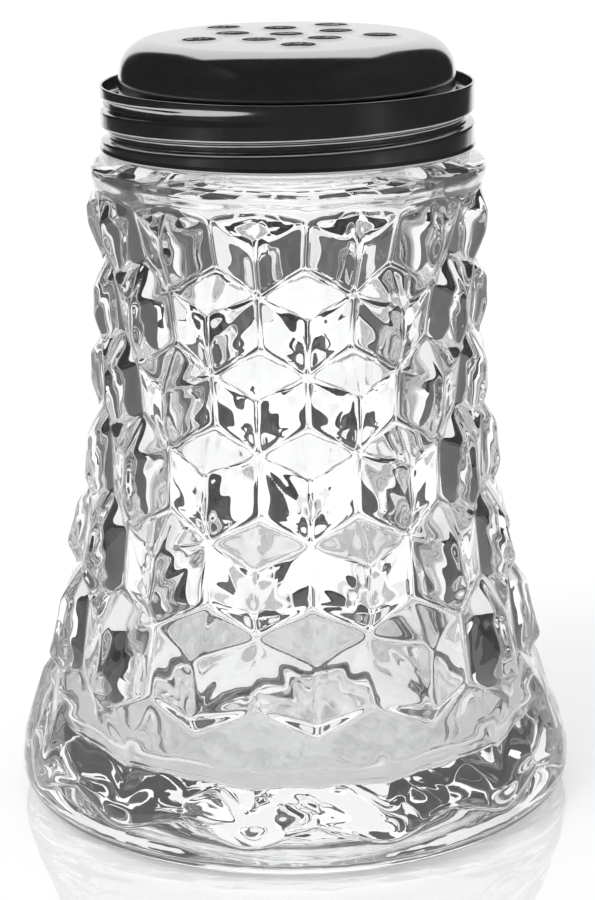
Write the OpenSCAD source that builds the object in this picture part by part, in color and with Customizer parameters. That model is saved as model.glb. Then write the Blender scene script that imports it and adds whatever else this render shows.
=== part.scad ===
/* [Glass body] */
// Height of the whole shaker
overall_h = 136.4; // [120:0.2:150]
// Number of cubes round the jar
columns = 13; // [9:1:17]
// Turn of the cubes from the middle of the front
facet_turn = 4.9; // [0:0.1:13]
// Radius of the shoulder at its widest points
shoulder_r = 35; // [34.4:0.1:36]
// Height of the shoulder's flat top above its widest points
shoulder_h = 2.9; // [2:0.1:3.2]
// Radius of the body's narrowest ring of stars
waist_r = 33.3; // [32.6:0.1:34.2]
// Drop from a ring of stars to the outer corners of its cubes
corner_drop = 3.7; // [3:0.1:5]
// Rise from a ring of stars to the inner corners above it
hollow_rise = 3.9; // [3:0.1:5]
// Depth of the inner corners behind the stars
hollow_depth = 1.9; // [1.2:0.1:2.2]
// Rise of the smooth collar's lower edge above the topmost ring of stars
collar_rise = 0.8; // [0.4:0.1:2]
// Radius of that edge, halfway between the stars
collar_r = 34.4; // [33.8:0.1:34.8]

/* [Foot] */
// Radius of the foot at its widest
foot_r = 50.6; // [48:0.1:54]
// Radius of the flat face that the jar stands on
stand_r = 46.5; // [43:0.1:47.6]
// Height of the foot's widest ring
foot_z = 4.6; // [3.6:0.1:6]
// Height of the foot's upper slope above its widest ring
foot_slope_h = 6.9; // [6.4:0.1:7.2]
// Radius of the hollow under the base
punt_r = 37; // [30:0.5:40]
// Depth of the hollow under the base
punt_h = 1.4; // [0.6:0.1:2.4]

/* [Cavity] */
// Thickness of the base under the cavity
base_t = 9; // [6:0.2:11]
// Wall of the glass at its thinnest, behind the inner corners
wall_t = 3.1; // [2.6:0.1:3.8]
// Radius of the cavity's round lower corner
floor_round = 9; // [4:0.5:10]

/* [Neck] */
// Height of the glass rim above the shoulder's widest points
neck_h = 10.6; // [10.2:0.1:13]
// Radius of the mouth
mouth_r = 26; // [22:0.1:27]
// Outer radius of the neck between its threads
neck_r = 29.9; // [29.2:0.1:30.2]
// Radius of the glass thread's crest
glass_crest_r = 31.5; // [31.2:0.05:31.7]
// Height of one turn of the thread
pitch = 5.08; // [4.6:0.02:5.6]
// Turns of glass thread on the neck
glass_turns = 0.85; // [0.7:0.05:0.85]

/* [Screw band] */
// Thickness of the pressed steel sheet
sheet_t = 0.5; // [0.4:0.05:0.6]
// Outer radius of the band's wall
band_r = 32.6; // [32.4:0.05:33]
// Drop from the glass rim to the band's lower edge
band_drop = 7; // [6.6:0.1:7.2]
// Height of the upstanding lip above the band's inner flange
lip_h = 2.6; // [1.6:0.1:3.6]
// Radius of the rolled bead at the band's lower edge
curl_r = 0.5; // [0.35:0.05:0.6]
// Depth of the rolled thread groove
groove_depth = 1.2; // [0.9:0.05:1.3]
// Turns of rolled thread groove
groove_turns = 1.45; // [1.2:0.05:1.45]

/* [Perforated dome] */
// Outer radius of the dome's wall
dome_r = 29.3; // [28.6:0.1:29.4]
// Height of the dome above the seat of its flange
dome_h = 11.7; // [9.5:0.1:14]
// Radius of the dome's shoulder
dome_round = 6.3; // [5:0.1:7.5]
// Rise of the dome's cambered top
camber_h = 0.4; // [0.2:0.1:2]
// Outer radius of the dome's flange
flange_r = 30.6; // [30.4:0.05:30.7]
// Radius of each hole
hole_r = 2.95; // [2.4:0.05:3]
// Radius of the inner ring of holes
inner_ring_r = 9.5; // [9:0.1:10]
// Radius of the outer ring of holes
outer_ring_r = 16.4; // [16:0.1:17]
// Holes in each ring
ring_holes = 5; // [4:1:5]
// Turn of the inner ring of holes
inner_ring_turn = 25; // [0:1:72]

/* [Gasket] */
// Thickness of the sealing gasket
gasket_t = 0.8; // [0.6:0.1:1]
// Inner radius of the sealing gasket
gasket_in_r = 26.8; // [26.4:0.1:27.5]
// Outer radius of the sealing gasket
gasket_out_r = 30.3; // [30:0.1:30.4]

/* [Hidden] */
$fn = 96;
// Overrun of a cut past the face that it opens
cut = 1;
// Depth to which a thread ridge is rooted in its wall
root = 0.3;
// Shares of the shoulder height at which the rings of stars lie, from the top down
star_z_share = [0.97, 0.857, 0.738, 0.621, 0.488, 0.354, 0.203];
// Star radii, as shares of the way from the waist to the foot's widest ring
star_r_share = [0.035, 0, 0.03, 0.09, 0.2, 0.385, 0.61];
// Radii of the cubes' outer corners, as shares of the same way
corner_r_share = [0.133, 0.092, 0.139, 0.208, 0.347, 0.549, 0.78];
// Radii of the cubes' edges where they bulge most, as shares of the same way
belly_r_share = [0.115, 0.095, 0.145, 0.25, 0.455, 0.685, 1];
// Place of that bulge, as shares of the way down from a corner to the next star
belly_z_share = [0.35, 0.52, 0.54, 0.64, 0.64, 0.76, 0.78];
// Place of the last half row, which ends on the foot
foot_star_z_share = 0.041;
foot_star_r_share = 0.99;
foot_hollow_z_share = 0.0865;
foot_hollow_r_share = 0.92;
// Points between those two, which round each lobe's lower edge
foot_lobe_z_share = 0.067;
foot_lobe_r_share = 0.975;
// Cavity wall, from its round corner up: shares of the height from there to the shoulder, and of
// the way from waist to foot
cavity_z_share = [0.01, 0.095, 0.24, 0.39, 0.55, 0.7, 1];
cavity_r_share = [0.64, 0.53, 0.34, 0.155, 0.045, 0, -0.03];
// Heights that follow from the whole height, down to the shoulder's widest points
rim_z = overall_h - dome_h - gasket_t;
band_z = rim_z - band_drop;
shoulder_z = rim_z - neck_h;
rows = len(star_z_share);
half = 180 / columns;
// Rings of points in the shoulder's rounding, and points in each
shoulder_rings = 3;
shoulder_points = 2 * columns;
shoulder_top_r = neck_r + hollow_depth;

// Seats, from the rim up
gasket_z = rim_z;
flange_z = gasket_z + gasket_t;
band_flange_z = flange_z + sheet_t;
lip_z = band_flange_z + sheet_t + lip_h;
// Running gap between the band's inner flange and the dome's wall
band_gap = 0.4;
// Middle of the rolled thread where it starts, at the front
groove_start_z = lip_z - 0.4 * pitch;
groove_start_turn = -90;
// Half widths of the groove and of the ridge that it makes inside, at bottom and mouth
groove_bottom_w = 0.5;
groove_mouth_w = 1.35;
ridge_crest_w = 0.75;
ridge_base_w = 1.75;
// Half widths of the glass thread at crest and root
glass_crest_w = 0.5;
glass_root_w = 1.3;
// Height of the glass thread over the rolled thread that holds it down
thread_lift = 2.05;
// Gap from the rim down to the middle of the glass thread's upper end
thread_rim_gap = 1.65;
thread_steps = 48;
taper_turns = 0.12;
groove_taper_turns = 0.2;

function at_share(share) = waist_r + share * (foot_r - waist_r);
function polar(r, turn, z) = [r * sin(turn), -r * cos(turn), z];
function star_z(k) = k < rows ? star_z_share[k] * shoulder_z : foot_star_z_share * shoulder_z;
function star_r(k) = at_share(k < rows ? star_r_share[k] : foot_star_r_share);
function hollow_z(k) = k == rows ? foot_hollow_z_share * shoulder_z
                     : star_z(k) + (k == 0 ? collar_rise : hollow_rise);
function hollow_r(k) = k == rows ? at_share(foot_hollow_r_share)
                     : k == 0 ? collar_r : star_r(k) - hollow_depth;
function corner_z(k) = star_z(k) - corner_drop;
function belly_z(k) = corner_z(k) + belly_z_share[k] * (star_z(k + 1) - corner_z(k));
// Turn of star j in ring k; every second ring is set round by half a cube
function star_turn(k, j) = facet_turn + (2 * j + k % 2) * half;

// Points of the cubes: for each ring its stars, hollows, corners and bellies in turn, then
// those hidden in the foot, those of the shoulder, and one inside each end
cube_points = concat(
    [for (k = [0:rows - 1]) for (j = [0:columns - 1]) each [
        polar(star_r(k), star_turn(k, j), star_z(k)),
        polar(hollow_r(k), star_turn(k, j) + half, hollow_z(k)),
        polar(at_share(corner_r_share[k]), star_turn(k, j) + half, corner_z(k)),
        polar(at_share(belly_r_share[k]), star_turn(k, j) + half, belly_z(k))]],
    [for (j = [0:columns - 1]) each [
        polar(star_r(rows), star_turn(rows, j), star_z(rows)),
        polar(hollow_r(rows), star_turn(rows, j) + half, hollow_z(rows)),
        each [for (side = [-1, 1]) polar(at_share(foot_lobe_r_share),
            star_turn(rows, j) + side * half / 2, foot_lobe_z_share * shoulder_z)]]],
    [for (n = [0:shoulder_rings - 1]) for (i = [0:shoulder_points - 1])
        let (a = 90 * n / (shoulder_rings - 1))
        polar(shoulder_top_r + (shoulder_r - shoulder_top_r) * cos(a), facet_turn + i * half,
              shoulder_z + shoulder_h * sin(a))],
    [[0, 0, shoulder_z + shoulder_h], [0, 0, foot_z / 2]]);

function star(k, j) = 4 * (columns * k + (j + columns) % columns);
function hollow(k, j) = star(k, j) + 1;
function corner(k, j) = star(k, j) + 2;
function belly(k, j) = star(k, j) + 3;
// Points of the lobe round star j on the foot, before and after that star
function lobe_before(j) = star(rows, j) + 2;
function lobe_after(j) = star(rows, j) + 3;
// Star and hollows of the ring below that close a cube
function star_below(k, j) = star(k + 1, j + k % 2);
function hollow_below(k, j) = hollow(k + 1, j - 1 + k % 2);
// Point i of ring n in the shoulder's rounding, from the star columns' turn
function shoulder(n, i) =
    len(cube_points) - 2 + (n - shoulder_rings) * shoulder_points + i % shoulder_points;
top_point = len(cube_points) - 2;
low_point = len(cube_points) - 1;

cube_faces = concat(
    [for (k = [0:rows - 1]) for (j = [0:columns - 1]) each [
        [star(k, j), hollow(k, j), corner(k, j)],
        [star(k, j + 1), corner(k, j), hollow(k, j)],
        [star(k, j), corner(k, j), belly(k, j)],
        [star(k, j), belly(k, j), hollow_below(k, j)],
        [corner(k, j), star(k, j + 1), belly(k, j)],
        [star(k, j + 1), hollow_below(k, j + 1), belly(k, j)]]],
    [for (k = [0:rows - 2]) for (j = [0:columns - 1]) each [
        [hollow_below(k, j), belly(k, j), star_below(k, j)],
        [hollow_below(k, j + 1), star_below(k, j), belly(k, j)]]],
    [for (j = [0:columns - 1]) each [
        [hollow(rows, j - 1), belly(rows - 1, j), lobe_before(j)],
        [lobe_before(j), belly(rows - 1, j), star(rows, j)],
        [star(rows, j), belly(rows - 1, j), lobe_after(j)],
        [lobe_after(j), belly(rows - 1, j), hollow(rows, j)]]],
    [for (j = [0:columns - 1]) each [
        [star(0, j), shoulder(0, 2 * j), hollow(0, j)],
        [shoulder(0, 2 * j), shoulder(0, 2 * j + 1), hollow(0, j)],
        [shoulder(0, 2 * j + 1), shoulder(0, 2 * j + 2), hollow(0, j)],
        [shoulder(0, 2 * j + 2), star(0, j + 1), hollow(0, j)],
        [low_point, hollow(rows, j - 1), lobe_before(j)],
        [low_point, lobe_before(j), star(rows, j)],
        [low_point, star(rows, j), lobe_after(j)],
        [low_point, lobe_after(j), hollow(rows, j)]]],
    [for (n = [0:shoulder_rings - 2]) for (i = [0:shoulder_points - 1]) each [
        [shoulder(n, i), shoulder(n + 1, i), shoulder(n + 1, i + 1)],
        [shoulder(n, i), shoulder(n + 1, i + 1), shoulder(n, i + 1)]]],
    [for (i = [0:shoulder_points - 1])
        [top_point, shoulder(shoulder_rings - 1, i + 1), shoulder(shoulder_rings - 1, i)]]);

// Solid ridge wound on a helix: wall radius, crest radius, half widths at wall and crest,
// middle height and turn at its upper end, number of turns, and taper at both ends
module helix_ridge(wall_r, crest_r, wall_w, crest_w, z, turn, turns, taper) {
    side = crest_r > wall_r ? 1 : -1;
    back_r = wall_r - side * root;
    count = ceil(turns * thread_steps);
    function rise(i) = min(1, min(i, count - i) / (taper * thread_steps));
    function tip_r(i) = wall_r - side * root / 2 + (crest_r - wall_r + side * root / 2) * rise(i);
    points = [for (i = [0:count])
        let (a = turn - i * 360 / thread_steps, h = z - i * pitch / thread_steps)
        each [[back_r * cos(a), back_r * sin(a), h - wall_w],
              [tip_r(i) * cos(a), tip_r(i) * sin(a), h - crest_w],
              [tip_r(i) * cos(a), tip_r(i) * sin(a), h + crest_w],
              [back_r * cos(a), back_r * sin(a), h + wall_w]]];
    rings = [for (i = [0:count - 1]) for (n = [0:3])
        let (m = (n + 1) % 4) each [
        [4 * i + n, 4 * i + m, 4 * i + 4 + m], [4 * i + n, 4 * i + 4 + m, 4 * i + 4 + n]]];
    ends = [[3, 2, 1, 0], [4 * count, 4 * count + 1, 4 * count + 2, 4 * count + 3]];
    faces = concat(rings, ends);
    turned = [for (f = faces) [for (n = [len(f) - 1:-1:0]) f[n]]];
    polyhedron(points, side > 0 ? turned : faces, convexity = 4);
}

// Arc of points, centre, radii along r and z, from one angle to another
function arc(c, rx, rz, from, to, n) =
    [for (i = [0:n]) let (a = from + (to - from) * i / n) [c[0] + rx * cos(a), c[1] + rz * sin(a)]];

module foot() {
    flare = foot_r - stand_r;
    rotate_extrude()
        polygon(concat([[0, 0]],
            arc([stand_r, foot_z], flare, foot_z, -90, 0, 10),
            arc([stand_r, foot_z], flare, foot_slope_h, 9, 90, 9),
            [[0, foot_z + foot_slope_h]]));
}

module neck() {
    rotate_extrude()
        polygon([[0, shoulder_z - cut], [neck_r, shoulder_z - cut], [neck_r, rim_z - root],
                 [neck_r - root, rim_z], [0, rim_z]]);
}

module glass_thread() {
    // The glass thread is the rolled thread moved up by thread_lift, from below the rim
    top_z = rim_z - thread_rim_gap;
    turn = groove_start_turn + (top_z - thread_lift - groove_start_z) / pitch * 360;
    helix_ridge(neck_r, glass_crest_r, glass_root_w, glass_crest_w, top_z, turn, glass_turns,
                taper_turns);
}

module cavity() {
    corner_z = base_t + floor_round;
    wall = [for (i = [0:len(cavity_z_share) - 1])
        [at_share(cavity_r_share[i]) - hollow_depth - wall_t,
         corner_z + cavity_z_share[i] * (shoulder_z - corner_z)]];
    low_r = wall[0][0];
    rotate_extrude()
        polygon(concat([[0, base_t]],
            arc([low_r - floor_round, corner_z], floor_round, floor_round, -90, 0, 6),
            wall,
            [[mouth_r, shoulder_z + shoulder_h], [mouth_r, rim_z - root],
             [mouth_r + root, rim_z], [mouth_r + root, rim_z + cut], [0, rim_z + cut]]));
}

module punt() {
    rotate_extrude()
        polygon([[0, -cut], [punt_r, -cut], [punt_r, 0], [punt_r - punt_h, punt_h], [0, punt_h]]);
}

module glass_jar() {
    color("gainsboro", 0.5)
    difference() {
        union() {
            polyhedron(cube_points, cube_faces, convexity = 6);
            foot();
            neck();
            glass_thread();
        }
        cavity();
        punt();
    }
}

module sealing_gasket() {
    color("whitesmoke")
    translate([0, 0, gasket_z])
    difference() {
        cylinder(r = gasket_out_r, h = gasket_t);
        translate([0, 0, -cut])
            cylinder(r = gasket_in_r, h = gasket_t + 2 * cut);
    }
}

// Outline of the dome's skin at a depth below its outer face
function dome_skin(depth) =
    let (c = [dome_r - dome_round, overall_h - camber_h - dome_round],
         sphere_r = (c[0] * c[0] + camber_h * camber_h) / (2 * camber_h),
         slope = asin(c[0] / sphere_r))
    concat(arc(c, dome_round - depth, dome_round - depth, 0, 90 - slope, 9),
           [for (i = [1:5]) let (a = slope * (1 - i / 5))
            [(sphere_r - depth) * sin(a), overall_h - sphere_r + (sphere_r - depth) * cos(a)]]);

module perforated_dome() {
    outer_ring_turn = inner_ring_turn - 180 / ring_holes;
    inside = dome_skin(sheet_t);
    color("silver")
    difference() {
        rotate_extrude()
            polygon(concat(
                [[dome_r - sheet_t, flange_z], [flange_r, flange_z], [flange_r, flange_z + sheet_t],
                 [dome_r, flange_z + sheet_t]],
                dome_skin(0),
                [for (i = [len(inside) - 1:-1:0]) inside[i]]));
        for (ring = [[0, 1, 0], [inner_ring_r, ring_holes, inner_ring_turn],
                     [outer_ring_r, ring_holes, outer_ring_turn]])
            for (i = [0:ring[1] - 1])
                rotate(ring[2] + i * 360 / ring_holes)
                    translate([ring[0], 0, overall_h - dome_round])
                        cylinder(r = hole_r, h = dome_round + cut);
    }
}

module screw_band() {
    inner_r = band_r - sheet_t;
    opening_r = dome_r + band_gap;
    mid_r = band_r - sheet_t / 2;
    curl_turn = acos(sheet_t / 2 / curl_r);
    color("silver")
    difference() {
        union() {
            rotate_extrude()
                polygon(concat(
                    arc([mid_r, lip_z - sheet_t / 2], sheet_t / 2, sheet_t / 2, 0, 180, 6),
                    [[inner_r, band_flange_z + sheet_t], [opening_r, band_flange_z + sheet_t],
                     [opening_r, band_flange_z], [inner_r, band_flange_z]],
                    arc([mid_r, band_z + curl_r], curl_r, curl_r, 180 - curl_turn,
                        360 + curl_turn, 12)));
            helix_ridge(inner_r, band_r - groove_depth - sheet_t, ridge_base_w, ridge_crest_w,
                        groove_start_z, groove_start_turn, groove_turns, groove_taper_turns);
        }
        helix_ridge(band_r + root, band_r - groove_depth, groove_mouth_w, groove_bottom_w,
                    groove_start_z, groove_start_turn, groove_turns, groove_taper_turns);
    }
}

glass_jar();
perforated_dome();
screw_band();
sealing_gasket();
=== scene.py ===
"""Pressed-glass cheese shaker with a screw band and a pierced dome, dressed for the render."""

import math

import bpy
import numpy as np
from mathutils import Matrix, Vector
from mathutils.geometry import delaunay_2d_cdt

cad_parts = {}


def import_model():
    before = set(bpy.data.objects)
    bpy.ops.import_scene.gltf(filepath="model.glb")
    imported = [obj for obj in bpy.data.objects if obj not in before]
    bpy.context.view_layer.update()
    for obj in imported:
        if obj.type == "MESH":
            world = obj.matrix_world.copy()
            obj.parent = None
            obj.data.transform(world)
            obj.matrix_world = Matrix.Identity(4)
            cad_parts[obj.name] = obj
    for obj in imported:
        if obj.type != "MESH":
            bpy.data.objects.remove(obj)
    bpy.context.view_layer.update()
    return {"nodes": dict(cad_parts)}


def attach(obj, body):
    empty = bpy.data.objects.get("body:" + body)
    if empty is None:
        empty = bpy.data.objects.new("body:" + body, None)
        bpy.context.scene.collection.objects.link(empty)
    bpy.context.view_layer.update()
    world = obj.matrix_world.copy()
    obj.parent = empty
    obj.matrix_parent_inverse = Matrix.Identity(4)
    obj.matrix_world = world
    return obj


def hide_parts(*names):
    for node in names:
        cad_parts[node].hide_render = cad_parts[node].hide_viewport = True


MM = 0.001

# Heights that the pieces share, in millimetres
OVERALL_H = 136.4
DOME_H = 11.7
GASKET_T = 0.8
BAND_DROP = 7.0
NECK_H = 10.6
RIM_Z = OVERALL_H - DOME_H - GASKET_T
BAND_Z = RIM_Z - BAND_DROP
SHOULDER_Z = RIM_Z - NECK_H

# Pressed cubes, in millimetres, with the place of each ring from the top down as shares
COLUMNS = 13
FACET_TURN = 4.9
SHOULDER_R = 35.0
SHOULDER_H = 2.9
WAIST_R = 33.3
FOOT_R = 50.6
CORNER_DROP = 3.7
HOLLOW_RISE = 3.9
HOLLOW_DEPTH = 1.9
COLLAR_RISE = 0.8
COLLAR_R = 34.4
STAR_Z_SHARE = (0.97, 0.857, 0.738, 0.621, 0.488, 0.354, 0.203)
STAR_R_SHARE = (0.035, 0, 0.03, 0.09, 0.2, 0.385, 0.61)
CORNER_R_SHARE = (0.133, 0.092, 0.139, 0.208, 0.347, 0.549, 0.78)
BELLY_R_SHARE = (0.115, 0.095, 0.145, 0.25, 0.455, 0.685, 1)
BELLY_Z_SHARE = (0.35, 0.52, 0.54, 0.64, 0.64, 0.76, 0.78)
FOOT_STAR = (0.041, 0.99)
FOOT_HOLLOW = (0.0865, 0.92)

# Fire polish of the cubes: how far edges soften and faces sink, in millimetres
EDGE_BLUR = 0.55
SINK_WIDTH = 2.2
SINK_SHARE = 0.6
SHOULDER_BLUR = 1.1
SOFT_DROP = 5.9
SOFT_BLEND = 3.5
EYE_Z = SHOULDER_Z - 2.2
EYE_H = 2.2
EYE_TURN = 6.5
EYE_DEPTH = 0.35
SHOULDER_ROUND = 1.9
SHOULDER_FALL = 2.0

# Lobes of the lowest cubes on the foot, in millimetres
LOBE_TOP = 17.0
LOBE_BLEND = 7.0
RIDGE_TOP = 14.0
RIDGE_BLEND = 4.0
RIDGE_SOFT = 0.6
VALLEY_FALL = 0.25
FOOT_SOFT = 0.1

# Foot, cavity and neck, in millimetres
STAND_R = 46.5
FOOT_Z = 4.6
FOOT_SLOPE_H = 6.9
PUNT_R = 37.0
PUNT_H = 1.4
BASE_T = 9.0
WALL_T = 3.1
FLOOR_ROUND = 9.0
CAVITY_Z_SHARE = (0.01, 0.095, 0.24, 0.39, 0.55, 0.7, 1)
CAVITY_R_SHARE = (0.64, 0.53, 0.34, 0.155, 0.045, 0, -0.03)
MOUTH_R = 26.0
MOUTH_DEPTH = 5.0
MOUTH_TOP = 1.0
WALL_TOP = 3.0
NECK_R = 29.9
RIM_ROUND = 0.8
PITCH = 5.08
GLASS_CREST_R = 31.5
GLASS_TURNS = 0.85
GLASS_HALF = (0.5, 1.3)
GLASS_TAPER = 0.12
THREAD_RIM_GAP = 1.65
THREAD_LIFT = 2.05

# Waves of the pressed glass: heights and fades in millimetres. A ripple has its share of the
# height, its number round the jar, its climb in radians a millimetre and its start
SAG = 0.14
SAG_WAVES = (0.42, 0.36, 0.8, 0.65)
SAG_FADE = 4.0
SAG_EDGE = 3.0
SAG_R = 40.0
SAG_R_FADE = 6.0
RIPPLE = 0.07
RIPPLE_WAVES = ((1, 3, 0.11, 0), (1, 7, -0.19, 1), (0.7, 13, 0.31, 2))
RIPPLE_START = 2.0
RIPPLE_FADE = 8.0

# Lid, in millimetres. A ring of holes has its radius, its number and its first turn
SHEET_T = 0.5
BAND_R = 32.6
CURL_R = 0.5
GROOVE_DEPTH = 1.2
GROOVE_TURNS = 1.45
GROOVE_TAPER = 0.2
GROOVE_HALF = (0.45, 1.35)
RIDGE_HALF = (0.7, 1.7)
RIDGE_GAP = 0.02
LIP_H = 2.6
LIP_ROUND = 0.3
CURL_H = 1.1
DOME_R = 29.3
BAND_GAP = 0.4
DOME_ROUND = 6.3
CAMBER_H = 0.4
FLANGE_R = 30.6
HOLE_R = 2.95
HOLE_RINGS = ((0, 1, 0), (9.5, 5, 25), (16.4, 5, -11))
RIM_BUMP = 0.22
RIM_BUMP_OUT = 0.3
RIM_BUMP_W = 0.35
HOLE_DIP = 0.1
HOLE_DIP_W = 0.12
BACK_BUMP = 0.6
CROWN_SINK = 0.26
CROWN_SINK_R = 12

FLANGE_Z = RIM_Z + GASKET_T
BAND_FLANGE_Z = FLANGE_Z + SHEET_T
LIP_Z = BAND_FLANGE_Z + SHEET_T + LIP_H
GROOVE_Z = LIP_Z - 0.4 * PITCH
GROOVE_TURN = -90.0

# Bends of the sheet as steps (in from the wall, up from the face), in millimetres
FLANGE_BEND = ((0, 0.9), (0.1, 0.4), (0.3, 0.12), (0.7, 0))
OPENING_BEND = ((0.2, 0), (0.03, 0.06), (0, 0.2))
BELOW_BEND = ((0.2, 0), (0, 0.05))
DOME_FOOT = ((0, 2.7), (0, 1.3), (0, 0.4), (0.12, 0.1), (0.4, 0))
DOME_BRIM = 0.1

# Fineness of the skins: points round the axis and steps in millimetres
COLUMN_POINTS = 42
BAND_POINTS = 360
DOME_POINTS = 240
HOLE_POINTS = 48
ARC_POINTS = 7
SHOULDER_STEPS = 3
HEEL_POINTS = 14
PUNT_POINTS = 14
STAND_POINTS = 6
CORNER_POINTS = 13
FLOOR_POINTS = 26
CURL_POINTS = 15
LIP_STEP = 15
DOME_ARC_POINTS = 19
AXIS_R = 0.6
CUBE_LOW_Z = 2.0
BODY_STEP = 0.42
TURN_STEP = 0.1
TURN_BELOW = 0.8
TURN_ABOVE = 0.4
HEEL_GAP = 0.4
NECK_STEP = 0.2
CAVITY_STEP = 0.8
WALL_SMOOTH = 6
BAND_STEP = 0.16
DOME_STEP = 0.9
HOLE_LOOPS = (0, 0.12, 0.25, 0.4, 0.6, 0.9)
HOLE_CLEAR = 1.3
POLISH_R = 40.0
ROUND_OFF = 1e-9
EDGE_SLACK = 1e-6

# Camera that matches the photograph, in metres, pixels and degrees
PHOTO_H = 900
FOCAL_PX = 2500.0
CAMERA_DISTANCE = 0.4527
CAMERA_RISE = 15.67
CAMERA_ROLL = -0.69
CAMERA_AIM = (0.00105, 0.0, 0.0615)
SENSOR = 36.0
CLIP_START = 0.01

# Stage, in metres and degrees. A felt card has its size and its centre, and those beside the
# shaker stand on both sides of it
FLAT = (0, 0, 0)
FACING = (90, 0, 0)
ASIDE = (90, 0, 90)
CARD_W = 2.4
CARD_H = 1.1
CARD_Z = CARD_H / 2
LOW_Z = 0.001
CARD_OVER = ((CARD_W, 1.9), (0, -0.55, CARD_H))
CARD_FRONT = ((CARD_W, CARD_H), (0, -1.3, CARD_Z))
CARD_FLOOR = ((CARD_W, 1.0), (0, -0.84, LOW_Z))
CARD_TOP = ((CARD_W, 2.1), (0, -0.05, CARD_H))
CARD_WING = ((2.3, CARD_H), (0.5, -0.15, CARD_Z))
CARD_NEAR = ((CARD_H, CARD_H), (0.65, -1.1, CARD_Z))
CARD_SIDE_X = 0.34
CARD_LOW_X = 0.64
SIDE_SPANS = ((1.48, 0.79), (1.02, -0.56))
FLOOR_SIZE = (6.0, 6.0)
FLOOR_CENTRE = (0, 0, -0.0002)
LAMP_PLACE = (-0.5, -0.4, 0.9)
LAMP_AIM = (0, 0, 0.06)
LAMP_SIZE = 0.5
LAMP_WATTS = 3.0

# Colours, each pair from its darkest to its lightest, and shades and strengths of the stage
GLASS_TINTS = ((0.965, 0.97, 0.97), (0.995, 1.0, 1.0))
STEEL_TINTS = ((0.516, 0.516, 0.5246), (0.6, 0.6, 0.61))
RUBBER_TINTS = ((0.6, 0.59, 0.56), (0.78, 0.77, 0.74))
FLOOR_TINTS = ((0.8, 0.8, 0.8), (0.83, 0.83, 0.83))
WHITE = (1, 1, 1, 1)
FLOOR_GLOW = 0.36
GLASS_FLOOR_GLOW = 0.13
WORLD_LIGHT = 0.55
BLACK_FELT = 0.05
GREY_FELT = 0.2
GLASS_BOUNCES = 32
MIRROR_BOUNCES = 20


def at_share(share):
    return WAIST_R + share * (FOOT_R - WAIST_R)


def polar(r, turn, z):
    a = math.radians(turn)
    return (r * math.sin(a), -r * math.cos(a), z)


def arc(r, z, radius, first, last, count):
    """Points (radius, height) round a centre, from one angle in degrees to another."""
    return [(r + radius * math.cos(a), z + radius * math.sin(a))
            for a in np.radians(np.linspace(first, last, count))]


def smooth(share):
    """A share that is held within 0 to 1, with a soft start and a soft end."""
    share = np.clip(share, 0, 1)
    return share * share * (3 - 2 * share)


def soft_max(a, b, k):
    h = np.clip(0.5 + 0.5 * (a - b) / k, 0, 1)
    return b + (a - b) * h + k * h * (1 - h)


def full_circle(count):
    return np.arange(count) * 2 * math.pi / count


def rings(points, cols):
    """Each point (radius, height) of an outline as a ring of as many points as cols."""
    pts = np.array(points)
    return np.repeat(pts[:, :1], cols, 1), np.repeat(pts[:, 1:], cols, 1)


def shoulder_arc():
    """Drops in radius and rises in height along the rounding of the shoulder."""
    width = SHOULDER_R - NECK_R - HOLLOW_DEPTH
    return [(width * (1 - math.cos(a)), SHOULDER_H * math.sin(a))
            for a in np.linspace(0, math.pi / 2, ARC_POINTS)]


def star(k, j):
    """Corner j that the cubes of ring k share, and below the last ring the foot's corner."""
    z, r = (STAR_Z_SHARE + FOOT_STAR[:1])[k], (STAR_R_SHARE + FOOT_STAR[1:])[k]
    return polar(at_share(r), FACET_TURN + (2 * j + k % 2) * 180 / COLUMNS, z * SHOULDER_Z)


def hollow(k, j):
    """Sunk point j between the cubes of ring k, and below the last ring the foot's."""
    turn = FACET_TURN + (2 * j + k % 2 + 1) * 180 / COLUMNS
    if k == len(STAR_Z_SHARE):
        return polar(at_share(FOOT_HOLLOW[1]), turn, FOOT_HOLLOW[0] * SHOULDER_Z)
    r = at_share(STAR_R_SHARE[k]) - HOLLOW_DEPTH if k else COLLAR_R
    rise = HOLLOW_RISE if k else COLLAR_RISE
    return polar(r, turn, STAR_Z_SHARE[k] * SHOULDER_Z + rise)


def shoulder_triangles(turn, a, b, top):
    """Faces between a topmost cube and the rounding of the shoulder above it."""
    steps = range(-SHOULDER_STEPS, SHOULDER_STEPS + 1)
    arcs = [[polar(SHOULDER_R - drop, turn + 180 / COLUMNS * t / SHOULDER_STEPS, SHOULDER_Z + rise)
             for t in steps] for drop, rise in shoulder_arc()]
    spans = range(2 * SHOULDER_STEPS)
    out = [(a, arcs[0][0], top), (arcs[0][-1], b, top)]
    out += [(arcs[0][i], arcs[0][i + 1], top) for i in spans]
    for low, high in zip(arcs, arcs[1:]):
        for i in spans:
            out += [(low[i], high[i], high[i + 1]), (low[i], high[i + 1], low[i + 1])]
    return out


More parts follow.
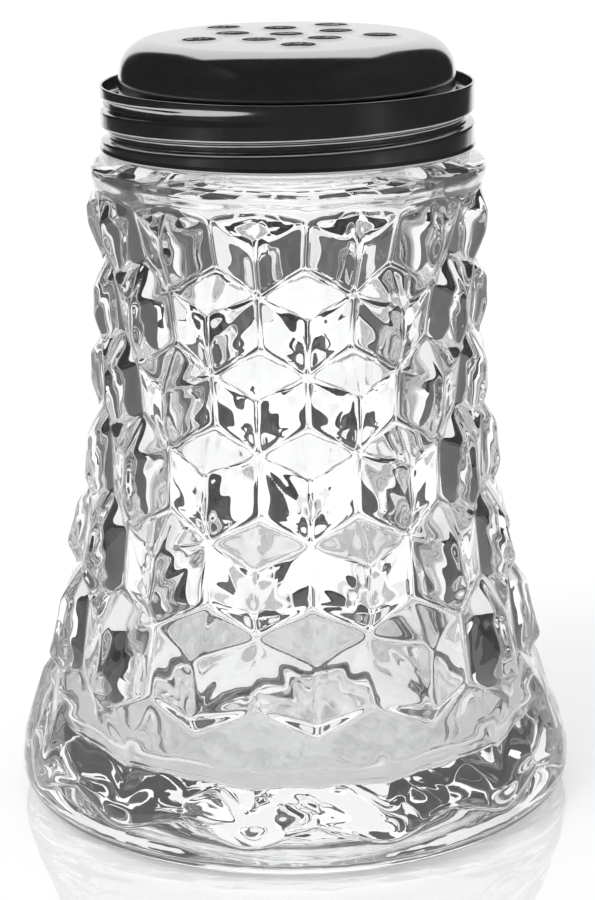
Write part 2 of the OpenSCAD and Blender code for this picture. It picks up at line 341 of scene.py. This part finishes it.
def cube_triangles():
    """Faces of the pressed cubes, as an array of triangles in millimetres."""
    out = []
    for k in range(len(STAR_Z_SHARE)):
        z = STAR_Z_SHARE[k] * SHOULDER_Z - CORNER_DROP
        below = (STAR_Z_SHARE + FOOT_STAR[:1])[k + 1] * SHOULDER_Z
        bulge_z = z + BELLY_Z_SHARE[k] * (below - z)
        for j in range(COLUMNS):
            turn = FACET_TURN + (2 * j + k % 2 + 1) * 180 / COLUMNS
            corner = polar(at_share(CORNER_R_SHARE[k]), turn, z)
            belly = polar(at_share(BELLY_R_SHARE[k]), turn, bulge_z)
            left, right = hollow(k + 1, j - 1 + k % 2), hollow(k + 1, j + k % 2)
            foot = star(k + 1, j + k % 2)
            a, b, top = star(k, j), star(k, j + 1), hollow(k, j)
            out += [(a, top, corner), (b, corner, top), (a, corner, belly), (a, belly, left),
                    (left, belly, foot), (corner, b, belly), (b, right, belly),
                    (right, foot, belly)]
            if k == 0:
                out += shoulder_triangles(turn, a, b, top)
    return np.array(out)


def cut_triangle(tri, turns, heights):
    """Radius at which each turn and height meets a triangle's plane, and whether inside it."""
    d = np.stack([np.sin(turns), -np.cos(turns), np.zeros_like(turns)], 1)
    e1, e2 = tri[1] - tri[0], tri[2] - tri[0]
    normal = np.cross(e1, e2)
    z = heights[:, None]
    r = (normal @ tri[0] - normal[2] * z) / (d @ normal)[None, :]
    hit = r[..., None] * d[None, :, :]
    hit[..., 2] += z
    w = hit - tri[0]
    d11, d12, d22 = e1 @ e1, e1 @ e2, e2 @ e2
    w1, w2 = w @ e1, w @ e2
    den = d11 * d22 - d12 * d12
    u, v = (d22 * w1 - d12 * w2) / den, (d11 * w2 - d12 * w1) / den
    return r, (u > -EDGE_SLACK) & (v > -EDGE_SLACK) & (u + v < 1 + EDGE_SLACK)


def cube_radius(turns, heights):
    """Radius of the pressed cubes along each turn (radians) and height, and zero off them."""
    radius = np.zeros((len(heights), len(turns)))
    step = turns[1] - turns[0]
    for tri in cube_triangles():
        lo, hi = tri[:, 2].min() - ROUND_OFF, tri[:, 2].max() + ROUND_OFF
        rows = np.where((heights >= lo) & (heights <= hi))[0]
        if len(rows) == 0:
            continue
        angles = np.unwrap(np.arctan2(tri[:, 0], -tri[:, 1]))
        first = math.floor((angles.min() - turns[0]) / step)
        last = math.ceil((angles.max() - turns[0]) / step)
        cols = np.arange(first, last + 1)
        r, inside = cut_triangle(tri, turns[0] + cols * step, heights[rows])
        where = np.ix_(rows, cols % len(turns))
        radius[where] = np.where(inside, np.maximum(radius[where], r), radius[where])
    return radius


def blur(field, sigma_rows, sigma_cols):
    """Softens edges as fire polishing does; it wraps round the jar and holds the ends."""
    def kernel(s):
        n = max(1, int(3 * s))
        k = np.exp(-0.5 * (np.arange(-n, n + 1) / s) ** 2)
        return k / k.sum()

    k = kernel(sigma_cols)
    n = len(k) // 2
    wide = np.concatenate([field[:, -n:], field, field[:, :n]], 1)
    field = sum(w * wide[:, i:i + field.shape[1]] for i, w in enumerate(k))
    k = kernel(sigma_rows)
    n = len(k) // 2
    tall = np.concatenate([field[:1]] * n + [field] + [field[-1:]] * n, 0)
    return sum(w * tall[i:i + field.shape[0]] for i, w in enumerate(k))


def helix_rise(turns, z, top, start, count, taper, half):
    """Height from 0 to 1 of a trapezoid thread wound down from its top, on a grid."""
    crest_w, root_w = half
    a = np.degrees(turns)[None, :] - 90
    total = np.zeros((len(z), len(turns)))
    for wind in range(-3, 4):
        along = (start - a) / 360 + wind
        middle = top - along * PITCH
        fade = smooth(np.minimum(along, count - along) / taper)
        side = smooth((root_w - np.abs(z[:, None] - middle)) / (root_w - crest_w))
        total = np.maximum(total, side * fade)
    return total


def ring_mesh(name, radii, heights, turns, middles=None):
    """Joins rings of points into a closed skin. The last ring meets the first, or each is
    closed by a fan to a middle point at its height in middles."""
    rows, cols = radii.shape
    x, y = radii * np.sin(turns), -radii * np.cos(turns)
    verts = (np.stack([x, y, heights], 2).reshape(-1, 3) * MM).tolist()
    bands = np.arange(rows - 1 if middles else rows)
    i, j = np.meshgrid(bands, np.arange(cols), indexing="ij")
    nxt, side = (i + 1) % rows, (j + 1) % cols
    quads = np.stack([i * cols + j, i * cols + side, nxt * cols + side, nxt * cols + j], 2)
    faces = quads.reshape(-1, 4).tolist()
    if middles:
        verts += [(0, 0, z * MM) for z in middles]
        first, last = len(verts) - 2, len(verts) - 1
        base = (rows - 1) * cols
        for j in range(cols):
            k = (j + 1) % cols
            faces += [(k, j, first), (base + j, base + k, last)]
    mesh = bpy.data.meshes.new(name)
    mesh.from_pydata(verts, [], faces)
    return mesh


def finish_mesh(mesh, name, material):
    mesh.polygons.foreach_set("use_smooth", np.ones(len(mesh.polygons), bool))
    mesh.materials.append(material)
    mesh.update()
    piece = bpy.data.objects.new(name, mesh)
    bpy.context.scene.collection.objects.link(piece)
    return piece


def base_profile():
    """Points (radius, height) under the jar, from the axis to the stand ring."""
    hollow_top = [(r, PUNT_H) for r in np.linspace(AXIS_R, PUNT_R - PUNT_H, PUNT_POINTS)]
    edge = [(PUNT_R - PUNT_H / 2, PUNT_H * 0.6), (PUNT_R, 0)]
    return hollow_top + edge + [(r, 0) for r in np.linspace(PUNT_R, STAND_R, STAND_POINTS)[1:-1]]


def outer_heights():
    """Heights of the jar's outer rings from the heel to the rim."""
    heel = [FOOT_Z * (1 - math.cos(math.radians(a))) for a in np.linspace(0, 90, HEEL_POINTS)]
    top = SHOULDER_Z + SHOULDER_H
    body = list(np.arange(FOOT_Z + HEEL_GAP, top - TURN_BELOW - TURN_STEP, BODY_STEP))
    turn = list(np.arange(top - TURN_BELOW, top + TURN_ABOVE, TURN_STEP))
    neck = list(np.arange(top + TURN_ABOVE + TURN_STEP, RIM_Z - RIM_ROUND, NECK_STEP))
    return np.array(heel + body + turn + neck)


def cavity_profile():
    """Points (radius, height) of the cavity, from the rim down to the floor."""
    corner_z = BASE_T + FLOOR_ROUND
    wall = [(at_share(r) - HOLLOW_DEPTH - WALL_T, corner_z + z * (SHOULDER_Z - corner_z))
            for r, z in zip(CAVITY_R_SHARE, CAVITY_Z_SHARE)]
    knots_z = [p[1] for p in wall]
    knots_z += [SHOULDER_Z + SHOULDER_H, RIM_Z - MOUTH_DEPTH, RIM_Z - MOUTH_TOP]
    knots_r = [p[0] for p in wall] + [MOUTH_R] * 3
    zs = np.arange(wall[0][1], RIM_Z - WALL_TOP, CAVITY_STEP)
    rs = np.interp(zs, knots_z, knots_r)
    pad = np.concatenate([[rs[0]] * WALL_SMOOTH, rs, [rs[-1]] * WALL_SMOOTH])
    window = 2 * WALL_SMOOTH + 1
    rs = np.convolve(pad, np.ones(window) / window, "valid")
    side = [(r, z) for r, z in zip(rs, zs)][::-1]
    flat_r = wall[0][0] - FLOOR_ROUND
    corner = arc(flat_r, corner_z, FLOOR_ROUND, 0, -90, CORNER_POINTS)[1:]
    floor = [(r, BASE_T) for r in np.linspace(flat_r, AXIS_R, FLOOR_POINTS)[1:]]
    rim = arc(MOUTH_R + RIM_ROUND, RIM_Z - RIM_ROUND, RIM_ROUND, 90, 180, ARC_POINTS)
    return rim + side + corner + floor


def round_lobes(radius, turns, heights):
    """Rounds the lowest row of cubes into smooth lobes, which meet the foot in arcs."""
    per = len(turns) // COLUMNS
    first = round(math.radians(FACET_TURN) / (turns[1] - turns[0]))
    valley = radius[:, first % len(turns)]
    ridge = radius[:, (first + per // 2) % len(turns)]
    corner_z, star_z = STAR_Z_SHARE[-1] * SHOULDER_Z - CORNER_DROP, FOOT_STAR[0] * SHOULDER_Z
    belly_z = corner_z + BELLY_Z_SHARE[-1] * (star_z - corner_z)
    corner_r, belly_r, star_r = (at_share(r) for r in (CORNER_R_SHARE[-1], BELLY_R_SHARE[-1],
                                                       FOOT_STAR[1]))
    above = belly_r + (belly_z - heights) * (belly_r - corner_r) / (corner_z - belly_z)
    below = belly_r - (belly_z - heights) * (belly_r - star_r) / (belly_z - star_z)
    crest = -soft_max(-above, -below, RIDGE_SOFT)
    valley = valley - VALLEY_FALL * np.maximum(FOOT_HOLLOW[0] * SHOULDER_Z - heights, 0)
    ridge = ridge + (crest - ridge) * np.clip((RIDGE_TOP - heights) / RIDGE_BLEND, 0, 1)
    away = ((np.arange(len(turns)) - first) % per) / per * 2 - 1
    lobes = ridge[:, None] + (valley - ridge)[:, None] * (away * away)[None, :]
    return radius + (lobes - radius) * smooth((LOBE_TOP - heights) / LOBE_BLEND)[:, None]


def polished(cubes, turns, heights):
    """The cubes with sharp edges softened and faces sunk, and softer under the shoulder."""
    spacing = 2 * math.pi * POLISH_R / len(turns)
    crisp = blur(cubes, EDGE_BLUR / BODY_STEP, EDGE_BLUR / spacing)
    crisp = crisp + SINK_SHARE * (crisp - blur(cubes, SINK_WIDTH / BODY_STEP, SINK_WIDTH / spacing))
    soft = blur(cubes, SHOULDER_BLUR / BODY_STEP, SHOULDER_BLUR / spacing)
    away = (np.degrees(turns) - FACET_TURN) % (360 / COLUMNS) - 180 / COLUMNS
    dents = np.exp(-(away[None, :] / EYE_TURN) ** 2 - ((heights[:, None] - EYE_Z) / EYE_H) ** 2)
    soft = soft - EYE_DEPTH * dents
    return crisp + (soft - crisp) * smooth((heights - SHOULDER_Z + SOFT_DROP) / SOFT_BLEND)[:, None]


def pressed_radius(turns, z):
    """Fire-polished radius of the cubes and shoulder, on a grid of turns and heights."""
    top = SHOULDER_Z + SHOULDER_H
    fine = np.arange(CUBE_LOW_Z, top + 1, BODY_STEP)
    cubes = cube_radius(turns, fine)
    filled = np.where((cubes > 0).all(1))[0]
    cubes[:filled[0]], cubes[filled[-1] + 1:] = cubes[filled[0]], cubes[filled[-1]]
    cubes = round_lobes(polished(cubes, turns, fine), turns, fine)
    cubes = np.stack([np.interp(z, fine, cubes[:, j]) for j in range(len(turns))], 1)
    down = np.clip((z - top + SHOULDER_ROUND) / SHOULDER_FALL, 0, 1)[:, None]
    cubes = NECK_R + (cubes - NECK_R) * np.sqrt(1 - down ** 2)
    cubes[z < FOOT_Z * 0.6] = 0
    return cubes


def foot_radius(z):
    flare = FOOT_R - STAND_R
    low = STAND_R + flare * np.sqrt(1 - np.clip((FOOT_Z - z) / FOOT_Z, 0, 1) ** 2)
    high = STAND_R + flare * np.sqrt(1 - np.clip((z - FOOT_Z) / FOOT_SLOPE_H, 0, 1) ** 2)
    return np.where(z < FOOT_Z, low, np.where(z < FOOT_Z + FOOT_SLOPE_H, high, 0))


def glass_thread(turns, z):
    """How far the glass thread stands out from the neck."""
    top = RIM_Z - THREAD_RIM_GAP
    start = GROOVE_TURN + (top - THREAD_LIFT - GROOVE_Z) / PITCH * 360
    rise = helix_rise(turns, z, top, start, GLASS_TURNS, GLASS_TAPER, GLASS_HALF)
    return rise * (GLASS_CREST_R - NECK_R)


def sag(radii, turns, phase):
    """Uneven rise of the flat faces of the base, in millimetres."""
    x, y = radii * np.sin(turns), -radii * np.cos(turns)
    long_x, long_y, short_x, short_y = SAG_WAVES
    return SAG * (np.sin(long_x * x + phase) * np.cos(long_y * y - phase)
                  + 0.5 * np.sin(short_x * x + short_y * y + 2 * phase))


def ripple(turns, z):
    """Faint waves up and round the wall of the cavity, in millimetres."""
    share = np.clip((z - BASE_T - RIPPLE_START) / RIPPLE_FADE, 0, 1) \
        * np.clip((SHOULDER_Z - z) / RIPPLE_FADE, 0, 1)
    waves = sum(size * np.sin(count * turns + climb * z + phase)
                for size, count, climb, phase in RIPPLE_WAVES)
    return RIPPLE * share * waves


def jar_mesh():
    """The jar as one closed skin: base, cubes, shoulder, threaded neck, rim and cavity."""
    cols = COLUMNS * COLUMN_POINTS
    turns = full_circle(cols)
    z = outer_heights()
    outer = soft_max(pressed_radius(turns, z), foot_radius(z)[:, None], FOOT_SOFT)
    outer = outer + glass_thread(turns, z)
    rim = arc(NECK_R - RIM_ROUND, RIM_Z - RIM_ROUND, RIM_ROUND, 0, 90, ARC_POINTS)
    base_r, base_z = rings(base_profile(), cols)
    rim_r, rim_z = rings(rim, cols)
    in_r, in_z = rings(cavity_profile(), cols)
    base_z = base_z + sag(base_r, turns, 0.0) * np.clip((PUNT_R - SAG_EDGE - base_r) / SAG_FADE, 0, 1)
    in_z = in_z + sag(in_r, turns, 1.7) * np.clip(BASE_T + 1 - in_z, 0, 1) \
        * np.clip((SAG_R - in_r) / SAG_R_FADE, 0, 1)
    in_r = in_r + ripple(turns, in_z)
    radii = np.concatenate([base_r, outer, rim_r, in_r])
    heights = np.concatenate([base_z, np.repeat(z[:, None], cols, 1), rim_z, in_z])
    return ring_mesh("jar", radii, heights, turns, (PUNT_H, BASE_T))


def band_flange():
    """Points (radius, height) of the band's flange, from the lip's foot to under the flange."""
    inner_r, opening_r = BAND_R - SHEET_T, DOME_R + BAND_GAP
    low, top = BAND_FLANGE_Z, BAND_FLANGE_Z + SHEET_T
    over = [(inner_r, LIP_Z - SHEET_T)] + [(inner_r - x, top + y) for x, y in FLANGE_BEND]
    opening = [(opening_r + x, top - y) for x, y in OPENING_BEND]
    opening += [(opening_r + x, low + y) for x, y in OPENING_BEND[::-1]]
    return over + opening + [(inner_r - x, low - y) for x, y in BELOW_BEND]


def band_mesh():
    """The screw band as one closed skin of pressed sheet."""
    turns = full_circle(BAND_POINTS)
    inner_r = BAND_R - SHEET_T
    outer_z = np.append(np.arange(BAND_Z + CURL_H, LIP_Z - LIP_ROUND, BAND_STEP), LIP_Z - LIP_ROUND)
    inner_z = outer_z[(outer_z < BAND_FLANGE_Z - 0.1)][::-1]
    thread = (GROOVE_Z, GROOVE_TURN, GROOVE_TURNS, GROOVE_TAPER)
    groove = helix_rise(turns, outer_z, *thread, GROOVE_HALF) * GROOVE_DEPTH
    ridge = helix_rise(turns, inner_z, *thread, RIDGE_HALF) * (GROOVE_DEPTH - RIDGE_GAP)
    half = SHEET_T / 2
    mid = BAND_R - half
    lip = arc(mid, LIP_Z - half, half, LIP_STEP, 180 - LIP_STEP, 180 // LIP_STEP - 1)
    turn = math.degrees(math.acos(half / CURL_R))
    curl = arc(mid, BAND_Z + CURL_R, CURL_R, 180 - turn, 360 + turn, CURL_POINTS)
    parts = [(BAND_R - groove, np.repeat(outer_z[:, None], BAND_POINTS, 1)),
             rings(lip, BAND_POINTS),
             rings(band_flange(), BAND_POINTS),
             (inner_r - ridge, np.repeat(inner_z[:, None], BAND_POINTS, 1)),
             rings(curl, BAND_POINTS)]
    radii = np.concatenate([p[0] for p in parts])
    heights = np.concatenate([p[1] for p in parts])
    return ring_mesh("band", radii, heights, turns)


def hole_centres():
    return np.array([(r * math.cos(math.radians(t + 360 * i / n)),
                      r * math.sin(math.radians(t + 360 * i / n)))
                     for r, n, t in HOLE_RINGS for i in range(n)])


def camber_ball():
    """Radius of the ball that the dome's cambered top is part of."""
    c = DOME_R - DOME_ROUND
    return (c * c + CAMBER_H * CAMBER_H) / (2 * CAMBER_H)


def dome_height(r, depth):
    """Height of the dome's cambered top at a radius, at a depth below its outer face."""
    ball = camber_ball()
    return OVERALL_H - ball + np.sqrt((ball - depth) ** 2 - r * r)


def from_holes(x, y):
    """Distance of a point to the middle of the nearest hole."""
    centres = hole_centres()
    return np.hypot(centres[:, 0] - x, centres[:, 1] - y).min()


def loop_points(x, y, r, count):
    return [(x + r * math.cos(2 * math.pi * i / count), y + r * math.sin(2 * math.pi * i / count))
            for i in range(count)]


def inner_points(c):
    """Square grid of points on the dome's top, clear of the edge and the holes."""
    line = np.arange(-c, c, DOME_STEP)
    return [(i, j) for i in line for j in line
            if math.hypot(i, j) < c - DOME_STEP * 0.6 and from_holes(i, j) > HOLE_R + HOLE_CLEAR]


def dome_top():
    """The dome's pierced top laid flat: points, triangles, its edge and each hole's edge."""
    c = DOME_R - DOME_ROUND
    points = [(c * math.sin(a), -c * math.cos(a)) for a in full_circle(DOME_POINTS)]
    edges = [(i, (i + 1) % DOME_POINTS) for i in range(DOME_POINTS)]
    loops = []
    for x, y in hole_centres():
        for grow in HOLE_LOOPS:
            ring = [len(points) + i for i in range(HOLE_POINTS)]
            points += loop_points(x, y, HOLE_R + grow, HOLE_POINTS)
            edges += list(zip(ring, ring[1:] + ring[:1]))
            if grow == 0:
                loops.append(ring)
    points += inner_points(c)
    out = delaunay_2d_cdt([Vector(p) for p in points], edges, [], 0, EDGE_SLACK)
    flat, faces, origin = np.array([tuple(p) for p in out[0]]), out[2], out[3]
    place = {old: new for new, olds in enumerate(origin) for old in olds}
    kept = [tuple(f) for f in faces if from_holes(*flat[list(f)].mean(0)) > HOLE_R * 0.98]
    edge = [place[i] for i in range(DOME_POINTS)]
    return flat, kept, edge, [[place[i] for i in loop] for loop in loops]


def hole_rims(flat):
    """Height of the small raised rim round each hole, with its edge drawn down."""
    near = np.array([from_holes(x, y) for x, y in flat]) - HOLE_R
    rim = RIM_BUMP * np.exp(-(np.maximum(near - RIM_BUMP_OUT, 0) / RIM_BUMP_W) ** 2)
    return rim - HOLE_DIP * np.exp(-(near / HOLE_DIP_W) ** 2)


def dome_outline():
    """Points (radius, height) down the dome's outer wall, round its flange and up inside."""
    c = DOME_R - DOME_ROUND
    slope = math.degrees(math.asin(c / camber_ball()))
    centre_z = OVERALL_H - CAMBER_H - DOME_ROUND
    outside = arc(c, centre_z, DOME_ROUND, 90 - slope, 0, DOME_ARC_POINTS)
    inside = arc(c, centre_z, DOME_ROUND - SHEET_T, 90 - slope, 0, DOME_ARC_POINTS)
    top = FLANGE_Z + SHEET_T
    foot = [(DOME_R + x, top + y) for x, y in DOME_FOOT]
    brim = [(FLANGE_R - DOME_BRIM, top), (FLANGE_R, top - DOME_BRIM),
            (FLANGE_R, FLANGE_Z + DOME_BRIM), (FLANGE_R - DOME_BRIM, FLANGE_Z),
            (DOME_R, FLANGE_Z), (DOME_R - SHEET_T, FLANGE_Z + DOME_BRIM)]
    return outside + foot + brim + inside[::-1]


def dome_mesh():
    """The pierced dome as one closed skin, with a raised rim round each hole."""
    flat, tris, edge, loops = dome_top()
    bump = hole_rims(flat)
    r = np.hypot(flat[:, 0], flat[:, 1])
    crown = CROWN_SINK * np.exp(-(r / CROWN_SINK_R) ** 2)
    front = dome_height(r, 0.0) - crown + bump
    back = dome_height(r, SHEET_T) - crown + BACK_BUMP * bump
    low = len(flat)
    verts = [(x, y, h) for (x, y), h in zip(flat, front)]
    verts += [(x, y, h) for (x, y), h in zip(flat, back)]
    faces = tris + [tuple(low + i for i in f[::-1]) for f in tris]
    for loop in loops:
        faces += [(b, a, low + a, low + b) for a, b in zip(loop, loop[1:] + loop[:1])]
    ring_rows = [edge]
    for ring_r, ring_z in dome_outline():
        base = len(verts)
        verts += [(ring_r * math.sin(a), -ring_r * math.cos(a), ring_z)
                  for a in full_circle(DOME_POINTS)]
        ring_rows.append(list(range(base, base + DOME_POINTS)))
    ring_rows.append([low + i for i in edge])
    for a, b in zip(ring_rows, ring_rows[1:]):
        for i in range(DOME_POINTS):
            k = (i + 1) % DOME_POINTS
            faces.append((a[i], b[i], b[k], a[k]))
    mesh = bpy.data.meshes.new("dome")
    mesh.from_pydata((np.array(verts) * MM).tolist(), [], faces)
    return mesh


def new_material(name):
    material = bpy.data.materials.new(name)
    material.use_nodes = True
    nodes = material.node_tree.nodes
    return material, nodes, material.node_tree.links, nodes["Principled BSDF"]


def noise(nodes, links, scale, detail):
    where = nodes.new("ShaderNodeTexCoord")
    tex = nodes.new("ShaderNodeTexNoise")
    tex.inputs["Scale"].default_value = scale
    tex.inputs["Detail"].default_value = detail
    links.new(where.outputs["Object"], tex.inputs["Vector"])
    return tex.outputs["Fac"]


def ramp(nodes, links, value, low, high):
    out = nodes.new("ShaderNodeMapRange")
    out.inputs["To Min"].default_value = low
    out.inputs["To Max"].default_value = high
    links.new(value, out.inputs["Value"])
    return out.outputs["Result"]


def join(nodes, links, operation, a, b):
    node = nodes.new("ShaderNodeMath")
    node.operation = operation
    links.new(a, node.inputs[0])
    links.new(b, node.inputs[1])
    return node.outputs[0]


def tint(nodes, links, value, dark, light):
    mix = nodes.new("ShaderNodeMix")
    mix.data_type = "RGBA"
    mix.inputs[6].default_value = (*dark, 1)
    mix.inputs[7].default_value = (*light, 1)
    links.new(value, mix.inputs[0])
    return mix.outputs[2]


def bump_normal(nodes, links, height, strength, distance, shader):
    node = nodes.new("ShaderNodeBump")
    node.inputs["Strength"].default_value = strength
    node.inputs["Distance"].default_value = distance
    links.new(height, node.inputs["Height"])
    links.new(node.outputs["Normal"], shader.inputs["Normal"])


def glass_material():
    """Clear pressed glass, with the faint waves that a mould leaves."""
    material, nodes, links, shader = new_material("pressed_glass")
    waves = noise(nodes, links, 90.0, 2.0)
    links.new(tint(nodes, links, waves, *GLASS_TINTS), shader.inputs["Base Color"])
    bump_normal(nodes, links, waves, 0.35, 0.0004, shader)
    shader.inputs["Roughness"].default_value = 0.012
    shader.inputs["IOR"].default_value = 1.52
    shader.inputs["Transmission Weight"].default_value = 1.0
    return material


def steel_material():
    """Polished plated steel with fine rubbed patches."""
    material, nodes, links, shader = new_material("bright_steel")
    cloud = noise(nodes, links, 140.0, 5.0)
    fine = noise(nodes, links, 1800.0, 2.0)
    links.new(tint(nodes, links, cloud, *STEEL_TINTS), shader.inputs["Base Color"])
    links.new(ramp(nodes, links, cloud, 0.1, 0.2), shader.inputs["Roughness"])
    bump_normal(nodes, links, fine, 0.04, 0.0001, shader)
    shader.inputs["Metallic"].default_value = 1.0
    return material


def rubber_material():
    """Pale gasket rubber with a fine bloom."""
    material, nodes, links, shader = new_material("gasket_rubber")
    cloud = noise(nodes, links, 900.0, 4.0)
    links.new(tint(nodes, links, cloud, *RUBBER_TINTS), shader.inputs["Base Color"])
    bump_normal(nodes, links, cloud, 0.2, 0.0002, shader)
    shader.inputs["Roughness"].default_value = 0.7
    return material


def seen_rays(nodes, links):
    """1 for the camera, and for rays that metal or glass passes on, and 0 for the rest."""
    path = nodes.new("ShaderNodeLightPath")
    value = path.outputs["Is Camera Ray"]
    for name in ("Is Glossy Ray", "Is Transmission Ray"):
        value = join(nodes, links, "MAXIMUM", value, path.outputs[name])
    return value


def floor_material():
    """White glossy table top. It glows a little where it is seen, and more through glass."""
    material, nodes, links, shader = new_material("floor")
    cloud = noise(nodes, links, 3.0, 2.0)
    links.new(tint(nodes, links, cloud, *FLOOR_TINTS), shader.inputs["Base Color"])
    shader.inputs["Roughness"].default_value = 0.04
    shader.inputs["Specular IOR Level"].default_value = 1.0
    shader.inputs["IOR"].default_value = 1.6
    shader.inputs["Emission Color"].default_value = WHITE
    path = nodes.new("ShaderNodeLightPath")
    glow = ramp(nodes, links, seen_rays(nodes, links), 0.0, FLOOR_GLOW)
    through = ramp(nodes, links, path.outputs["Is Transmission Ray"], 0.0, GLASS_FLOOR_GLOW)
    links.new(join(nodes, links, "ADD", glow, through), shader.inputs["Emission Strength"])
    return material


def card_material(name, shade):
    """Felt of the studio's light stops."""
    material, nodes, links, shader = new_material(name)
    cloud = noise(nodes, links, 6.0, 3.0)
    links.new(tint(nodes, links, cloud, [shade * 0.7] * 3, [shade * 1.3] * 3),
              shader.inputs["Base Color"])
    shader.inputs["Roughness"].default_value = 1.0
    shader.inputs["Specular IOR Level"].default_value = 0.0
    return material


def dress_jar():
    jar = finish_mesh(jar_mesh(), "jar_glass", glass_material())
    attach(jar, "jar")
    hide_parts("glass_jar")


def dress_lid():
    steel = steel_material()
    band = finish_mesh(band_mesh(), "band_sheet", steel)
    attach(band, "band")
    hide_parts("screw_band")
    dome = finish_mesh(dome_mesh(), "dome_sheet", steel)
    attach(dome, "dome")
    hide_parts("perforated_dome")


def dress_gasket(node):
    node.data.materials.clear()
    node.data.materials.append(rubber_material())


def plane(name, size, centre, turn, material):
    """A rectangle of stage, turned by Euler angles in degrees."""
    w, h = size[0] / 2, size[1] / 2
    mesh = bpy.data.meshes.new(name)
    mesh.from_pydata([(-w, -h, 0), (w, -h, 0), (w, h, 0), (-w, h, 0)], [], [(0, 1, 2, 3)])
    mesh.materials.append(material)
    obj = bpy.data.objects.new(name, mesh)
    bpy.context.scene.collection.objects.link(obj)
    obj.location = centre
    obj.rotation_euler = [math.radians(a) for a in turn]
    return obj


def card(name, size, centre, turn, material, through_glass):
    """A light stop that only the metal mirrors, or that is only seen through the glass."""
    obj = plane(name, size, centre, turn, material)
    obj.visible_camera = obj.visible_diffuse = obj.visible_shadow = False
    obj.visible_glossy, obj.visible_transmission = not through_glass, through_glass


def mirrored_cards():
    """Black cards above, in front and beside the shaker, which darken the steel."""
    black = card_material("black_felt", BLACK_FELT)
    card("card_over", *CARD_OVER, FLAT, black, False)
    card("card_front", *CARD_FRONT, FACING, black, False)
    card("card_floor", *CARD_FLOOR, FLAT, black, False)
    size, (x, y, z) = CARD_WING
    for side in (-1, 1):
        card("card_wing", size, (side * x, y, z), ASIDE, black, False)


def refracted_cards():
    """Grey cards that draw the dark lines of the glass, with gaps that show white behind it."""
    grey, dim = card_material("grey_felt", GREY_FELT), card_material("dim_felt", BLACK_FELT)
    near, (x, y, z) = CARD_NEAR
    for side in (-1, 1):
        for length, middle in SIDE_SPANS:
            beside, below = side * CARD_SIDE_X, side * CARD_LOW_X
            card("card_side", (length, CARD_H), (beside, middle, CARD_Z), ASIDE, grey, True)
            card("card_low", (CARD_H, length), (below, middle, LOW_Z), FLAT, dim, True)
        card("card_near", near, (side * x, y, z), FACING, grey, True)
    card("card_top", *CARD_TOP, FLAT, grey, True)


def world_light():
    """White studio for the camera, metal and glass; a plainer grey one lights the surfaces."""
    world = bpy.data.worlds.new("studio")
    bpy.context.scene.world = world
    world.use_nodes = True
    nodes, links = world.node_tree.nodes, world.node_tree.links
    back = nodes["Background"]
    back.inputs["Color"].default_value = WHITE
    strength = ramp(nodes, links, seen_rays(nodes, links), WORLD_LIGHT, 1.0)
    links.new(strength, back.inputs["Strength"])


def key_lamp():
    lamp = bpy.data.lights.new("key", "AREA")
    lamp.shape = "DISK"
    lamp.size = LAMP_SIZE
    lamp.energy = LAMP_WATTS
    obj = bpy.data.objects.new("key", lamp)
    bpy.context.scene.collection.objects.link(obj)
    obj.location = LAMP_PLACE
    obj.rotation_euler = (Vector(LAMP_AIM) - Vector(LAMP_PLACE)).to_track_quat("-Z", "Y").to_euler()
    obj.visible_glossy = False


def photo_camera():
    data = bpy.data.cameras.new("camera")
    data.sensor_fit = "AUTO"
    data.sensor_width = SENSOR
    data.lens = FOCAL_PX / PHOTO_H * SENSOR
    data.clip_start = CLIP_START
    camera = bpy.data.objects.new("camera", data)
    bpy.context.scene.collection.objects.link(camera)
    rise = math.radians(CAMERA_RISE)
    away = Vector((0, -math.cos(rise), math.sin(rise)))
    camera.location = Vector(CAMERA_AIM) + CAMERA_DISTANCE * away
    turned = (-away).to_track_quat("-Z", "Y").to_matrix() \
        @ Matrix.Rotation(math.radians(CAMERA_ROLL), 3, "Z")
    camera.rotation_euler = turned.to_euler()
    bpy.context.scene.camera = camera


def deep_glass():
    """Lets light pass the many faces of the thick glass before it is given up."""
    cycles = bpy.context.scene.cycles
    cycles.max_bounces = GLASS_BOUNCES
    cycles.glossy_bounces = MIRROR_BOUNCES
    cycles.transmission_bounces = GLASS_BOUNCES


def main():
    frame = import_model()
    bpy.context.scene.view_settings.view_transform = "Standard"
    dress_jar()
    dress_lid()
    dress_gasket(frame["nodes"]["sealing_gasket"])
    plane("floor", FLOOR_SIZE, FLOOR_CENTRE, FLAT, floor_material())
    mirrored_cards()
    refracted_cards()
    world_light()
    key_lamp()
    photo_camera()
    deep_glass()


main()
